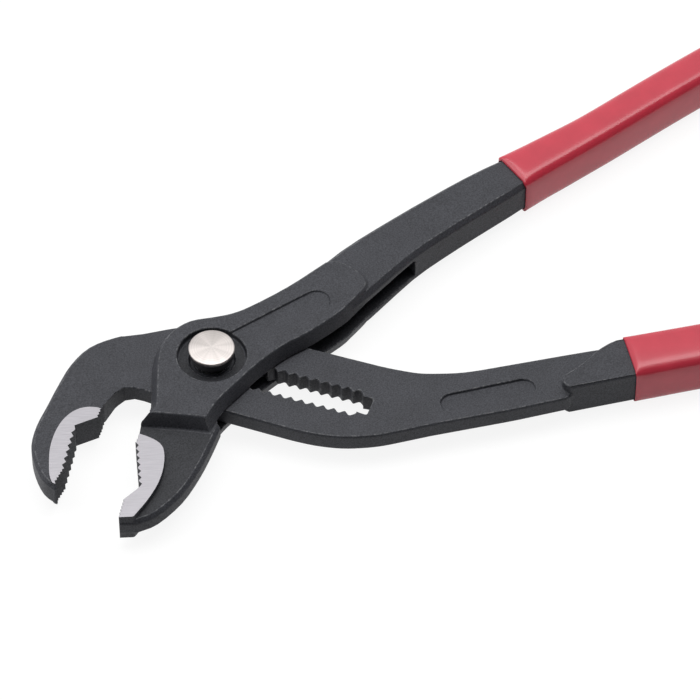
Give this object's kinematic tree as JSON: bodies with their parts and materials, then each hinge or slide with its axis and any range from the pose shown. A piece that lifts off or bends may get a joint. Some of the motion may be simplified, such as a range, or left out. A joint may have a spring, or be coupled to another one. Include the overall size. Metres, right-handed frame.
{
  "type": "adjustable pliers",
  "caption": "Adjustable water-pump pliers: an arm with a toothed slot slides and turns through a box-jointed arm on a sprung push-button bolt, with hooked jaws and dipped grips.",
  "frame": {"origin": "on the pivot axis, at the back face that the tool lies on, which is the rear end of the joint bolt", "axes": "+X along the box arm from the pivot towards the handle ends, +Z along the pivot axis, out of the push button"},
  "size_m": [0.2536, 0.104, 0.0135],
  "materials": {
    "phosphated_steel": "satin black phosphate on forged steel",
    "dipped_vinyl": "glossy red dipped vinyl",
    "turned_steel": "bright turned steel",
    "blacked_steel": "blacked steel",
    "spring_steel": "plain ground steel"
  },
  "bodies": {
    "box_arm": {"box_arm": "phosphated_steel", "box_arm_grip": "dipped_vinyl"},
    "pivot_seat": {"spring_washer": "spring_steel", "bolt_spring": "spring_steel"},
    "rack_arm": {"rack_arm": "phosphated_steel", "rack_arm_grip": "dipped_vinyl"},
    "joint_bolt": {"joint_bolt": "spring_steel", "button_collar": "blacked_steel", "button_cap": "turned_steel"}
  },
  "joints": [
    {"name": "jaw_pivot", "type": "hinge", "parent": "box_arm", "child": "pivot_seat", "pos_m": [0, 0, 0.0055], "axis": [0, 0, 1], "range_deg": [-20, 19]},
    {"name": "slot_adjust", "type": "slide", "parent": "pivot_seat", "child": "rack_arm", "axis": [-0.6032, 0.7976, 0], "range_m": [0, 0.02808]},
    {"name": "button_press", "type": "slide", "parent": "pivot_seat", "child": "joint_bolt", "axis": [0, 0, -1], "range_m": [0, 0.0018], "stiffness_N_per_m": 1500, "springref_m": -0.002, "deforming": ["bolt_spring"]}
  ]
}
